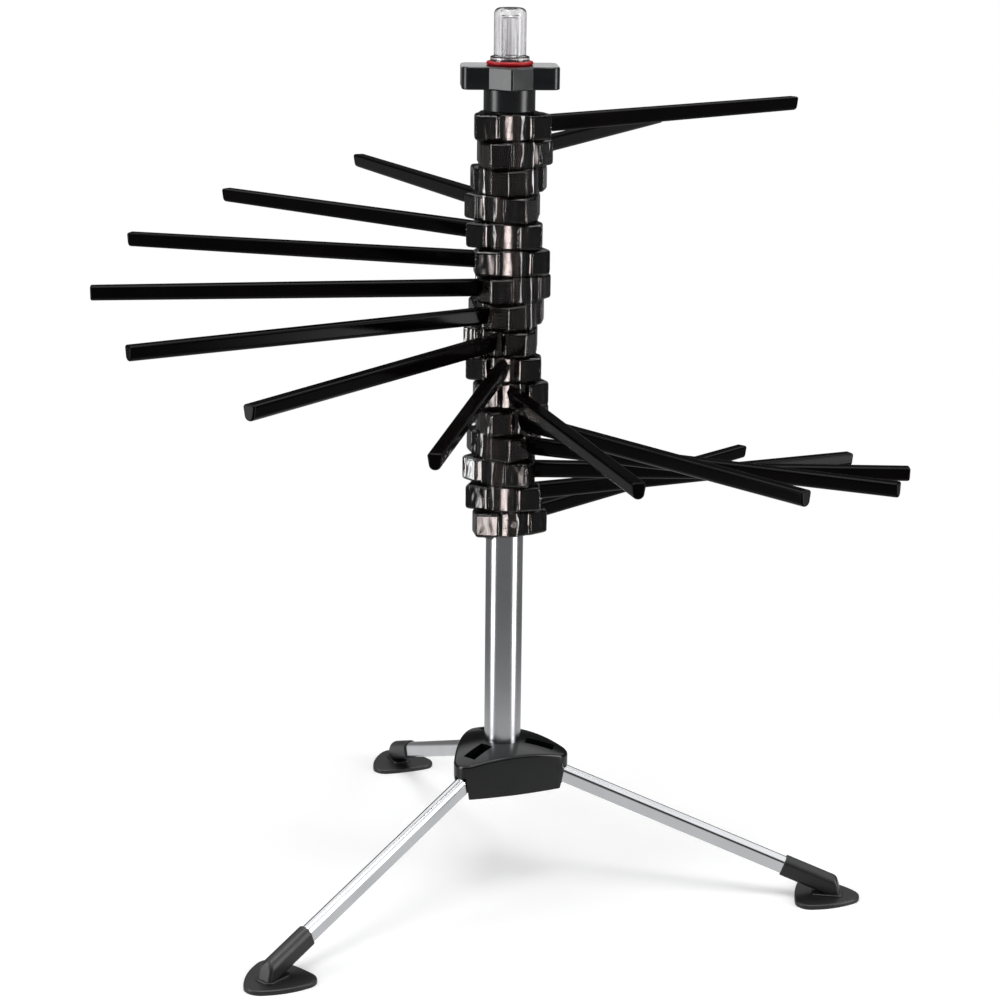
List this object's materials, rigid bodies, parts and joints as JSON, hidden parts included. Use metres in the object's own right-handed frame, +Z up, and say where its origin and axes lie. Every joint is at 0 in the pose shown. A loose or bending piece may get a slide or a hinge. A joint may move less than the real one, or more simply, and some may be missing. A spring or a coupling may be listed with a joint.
{
  "type": "pasta drying rack",
  "caption": "Free-standing rack for drying fresh pasta: a post with a spiral of turning arms, a clamp knob with a clear wand on top, and a folding tripod below.",
  "frame": {"origin": "on the floor, on the axis of the post", "axes": "+Z up along the post; -Y towards the viewer of the picture; +X to its right"},
  "size_m": [0.4302, 0.4301, 0.4749],
  "materials": {
    "smoked_ring": "smoked, see-through in thin places, glossy",
    "black_arm": "glossy",
    "satin_post": "satin anodised",
    "bright_leg": "bright anodised",
    "brass_bush": "turned",
    "black_knob": "glossy",
    "red_seat": "smooth",
    "clear_wand": "clear",
    "steel_screw": "plated",
    "black_hub": "semi-gloss",
    "black_foot": "satin"
  },
  "bodies": {
    "stand": {"post_tube": "satin_post", "top_bush": "brass_bush", "hub_body": "black_hub", "post_foot_plug": "brass_bush", "hub_screw": "steel_screw", "hub_washer": "steel_screw", "leg_pins": "steel_screw", "ring_16": "smoked_ring", "arm_16": "black_arm", "ring_lock_screw": "steel_screw"},
    "tier_15": {"ring_15": "smoked_ring", "arm_15": "black_arm"},
    "tier_14": {"ring_14": "smoked_ring", "arm_14": "black_arm"},
    "tier_13": {"ring_13": "smoked_ring", "arm_13": "black_arm"},
    "tier_12": {"ring_12": "smoked_ring", "arm_12": "black_arm"},
    "tier_11": {"ring_11": "smoked_ring", "arm_11": "black_arm"},
    "tier_10": {"ring_10": "smoked_ring", "arm_10": "black_arm"},
    "tier_09": {"ring_09": "smoked_ring", "arm_09": "black_arm"},
    "tier_08": {"ring_08": "smoked_ring", "arm_08": "black_arm"},
    "tier_07": {"ring_07": "smoked_ring", "arm_07": "black_arm"},
    "tier_06": {"ring_06": "smoked_ring", "arm_06": "black_arm"},
    "tier_05": {"ring_05": "smoked_ring", "arm_05": "black_arm"},
    "tier_04": {"ring_04": "smoked_ring", "arm_04": "black_arm"},
    "tier_03": {"ring_03": "smoked_ring", "arm_03": "black_arm"},
    "tier_02": {"ring_02": "smoked_ring", "arm_02": "black_arm"},
    "tier_01": {"ring_01": "smoked_ring", "arm_01": "black_arm"},
    "collar": {"clamp_collar": "black_knob"},
    "knob": {"clamp_knob": "black_knob", "wand_seat_ring": "red_seat"},
    "wand": {"pasta_wand": "clear_wand"},
    "leg_1": {"leg_tube_1": "bright_leg", "leg_knuckle_1": "black_hub", "foot_1": "black_foot"},
    "leg_2": {"leg_tube_2": "bright_leg", "leg_knuckle_2": "black_hub", "foot_2": "black_foot"},
    "leg_3": {"leg_tube_3": "bright_leg", "leg_knuckle_3": "black_hub", "foot_3": "black_foot"}
  },
  "joints": [
    {"name": "tier_15_turn", "type": "hinge", "parent": "stand", "child": "tier_15", "pos_m": [0, 0, 0.2195], "axis": [0, 0, 1], "range_deg": [0, 24.5]},
    {"name": "tier_14_turn", "type": "hinge", "parent": "tier_15", "child": "tier_14", "pos_m": [0, 0, 0.2335], "axis": [0, 0, 1], "range_deg": [0, 24.5]},
    {"name": "tier_13_turn", "type": "hinge", "parent": "tier_14", "child": "tier_13", "pos_m": [0, 0, 0.2475], "axis": [0, 0, 1], "range_deg": [0, 24.5]},
    {"name": "tier_12_turn", "type": "hinge", "parent": "tier_13", "child": "tier_12", "pos_m": [0, 0, 0.2615], "axis": [0, 0, 1], "range_deg": [0, 24.5]},
    {"name": "tier_11_turn", "type": "hinge", "parent": "tier_12", "child": "tier_11", "pos_m": [0, 0, 0.2755], "axis": [0, 0, 1], "range_deg": [0, 24.5]},
    {"name": "tier_10_turn", "type": "hinge", "parent": "tier_11", "child": "tier_10", "pos_m": [0, 0, 0.2895], "axis": [0, 0, 1], "range_deg": [0, 24.5]},
    {"name": "tier_09_turn", "type": "hinge", "parent": "tier_10", "child": "tier_09", "pos_m": [0, 0, 0.3035], "axis": [0, 0, 1], "range_deg": [0, 24.5]},
    {"name": "tier_08_turn", "type": "hinge", "parent": "tier_09", "child": "tier_08", "pos_m": [0, 0, 0.3175], "axis": [0, 0, 1], "range_deg": [0, 24.5]},
    {"name": "tier_07_turn", "type": "hinge", "parent": "tier_08", "child": "tier_07", "pos_m": [0, 0, 0.3315], "axis": [0, 0, 1], "range_deg": [0, 24.5]},
    {"name": "tier_06_turn", "type": "hinge", "parent": "tier_07", "child": "tier_06", "pos_m": [0, 0, 0.3455], "axis": [0, 0, 1], "range_deg": [0, 24.5]},
    {"name": "tier_05_turn", "type": "hinge", "parent": "tier_06", "child": "tier_05", "pos_m": [0, 0, 0.3595], "axis": [0, 0, 1], "range_deg": [0, 24.5]},
    {"name": "tier_04_turn", "type": "hinge", "parent": "tier_05", "child": "tier_04", "pos_m": [0, 0, 0.3735], "axis": [0, 0, 1], "range_deg": [0, 24.5]},
    {"name": "tier_03_turn", "type": "hinge", "parent": "tier_04", "child": "tier_03", "pos_m": [0, 0, 0.3875], "axis": [0, 0, 1], "range_deg": [0, 24.5]},
    {"name": "tier_02_turn", "type": "hinge", "parent": "tier_03", "child": "tier_02", "pos_m": [0, 0, 0.4015], "axis": [0, 0, 1], "range_deg": [0, 24.5]},
    {"name": "tier_01_turn", "type": "hinge", "parent": "tier_02", "child": "tier_01", "pos_m": [0, 0, 0.4155], "axis": [0, 0, 1], "range_deg": [0, 24.5]},
    {"name": "collar_lift", "type": "slide", "parent": "stand", "child": "collar", "axis": [0, 0, 1], "range_m": [0, 0.00075]},
    {"name": "knob_turn", "type": "hinge", "parent": "collar", "child": "knob", "pos_m": [0, 0, 0.4403], "axis": [0, 0, 1], "range_deg": [0, 180]},
    {"name": "wand_draw", "type": "slide", "parent": "knob", "child": "wand", "axis": [0, 0, 1], "range_m": [0, 0.2]},
    {"name": "leg_1_fold", "type": "hinge", "parent": "stand", "child": "leg_1", "pos_m": [-0.0151, -0.01865, 0.0662], "axis": [0.7771, -0.6293, 0], "range_deg": [0, 68]},
    {"name": "leg_2_fold", "type": "hinge", "parent": "stand", "child": "leg_2", "pos_m": [0.0237, -0.00375, 0.0662], "axis": [0.1564, 0.9877, 0], "range_deg": [0, 68]},
    {"name": "leg_3_fold", "type": "hinge", "parent": "stand", "child": "leg_3", "pos_m": [-0.0086, 0.02241, 0.0662], "axis": [-0.9336, -0.3584, 0], "range_deg": [0, 68]}
  ],
  "couplings": [
    {"joint": "collar_lift", "follows": "knob_turn", "m_per_rad": 0.00023873}
  ]
}
